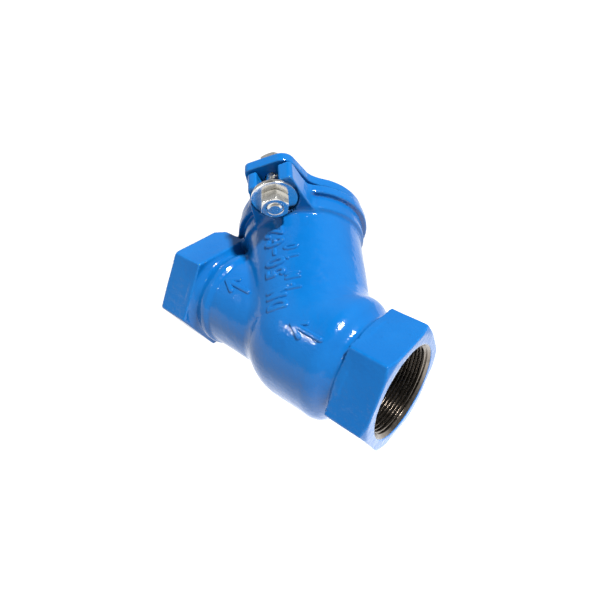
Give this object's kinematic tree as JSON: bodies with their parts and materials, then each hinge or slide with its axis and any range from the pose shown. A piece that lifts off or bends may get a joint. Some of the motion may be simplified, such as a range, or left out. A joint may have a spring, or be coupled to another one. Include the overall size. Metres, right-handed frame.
{
  "type": "ball check valve",
  "caption": "Y-pattern ball check valve with threaded hexagonal ends and a slanted ball chamber, closed by a cover bolted on at its ears.",
  "frame": {"origin": "middle of the inlet mouth, in the plane of the inlet hexagon's end face", "axes": "+X along the run axis, out of the inlet, so the outlet is towards -X; +Z is the outward normal of one hexagon flat; the branch leans back over the outlet on the +Y side, 30 degrees above the horizontal, and a turn of +60 degrees about X stands it upright"},
  "size_m": [0.177, 0.1501, 0.1431],
  "materials": {
    "blue_epoxy": "thick glossy fusion-bonded epoxy over ductile iron",
    "bare_iron": "machined pipe thread, dark and lightly oiled",
    "stainless_bolting": "plain stainless steel, bright on its edges",
    "stainless_washer": "stamped stainless steel, rolled bright on its faces",
    "gasket_rubber": "matt black sheet rubber",
    "ball_rubber": "smooth moulded nitrile rubber",
    "ball_metal": "as cast"
  },
  "bodies": {
    "casting": {"body_casting": "blue_epoxy", "cover_gasket": "gasket_rubber", "upper_nut_washer": "stainless_washer", "lower_nut_washer": "stainless_washer"},
    "ball": {"ball_core": "ball_metal", "ball_coat": "ball_rubber"},
    "cover": {"cover": "blue_epoxy", "upper_bolt": "stainless_bolting", "lower_bolt": "stainless_bolting", "upper_head_washer": "stainless_washer", "lower_head_washer": "stainless_washer"},
    "upper_nut": {"upper_nut": "stainless_bolting"},
    "lower_nut": {"lower_nut": "stainless_bolting"}
  },
  "joints": [
    {"name": "ball_travel", "type": "slide", "parent": "casting", "child": "ball", "axis": [-0.6428, 0.6634, 0.383], "range_m": [0, 0.0625]},
    {"name": "upper_nut_turn", "type": "hinge", "parent": "casting", "child": "upper_nut", "pos_m": [-0.11607, 0.01997, 0.07619], "axis": [0.6428, -0.6634, -0.383], "range_deg": [0, 1800]},
    {"name": "lower_nut_turn", "type": "hinge", "parent": "casting", "child": "lower_nut", "pos_m": [-0.11607, 0.07597, -0.02081], "axis": [0.6428, -0.6634, -0.383], "range_deg": [0, 1800]},
    {"name": "cover_lift", "type": "slide", "parent": "casting", "child": "cover", "axis": [-0.6428, 0.6634, 0.383], "range_m": [0, 0.0075]}
  ],
  "couplings": [
    {"joint": "upper_nut_turn", "follows": "cover_lift", "rad_per_m": 4188.7},
    {"joint": "lower_nut_turn", "follows": "cover_lift", "rad_per_m": 4188.7}
  ]
}
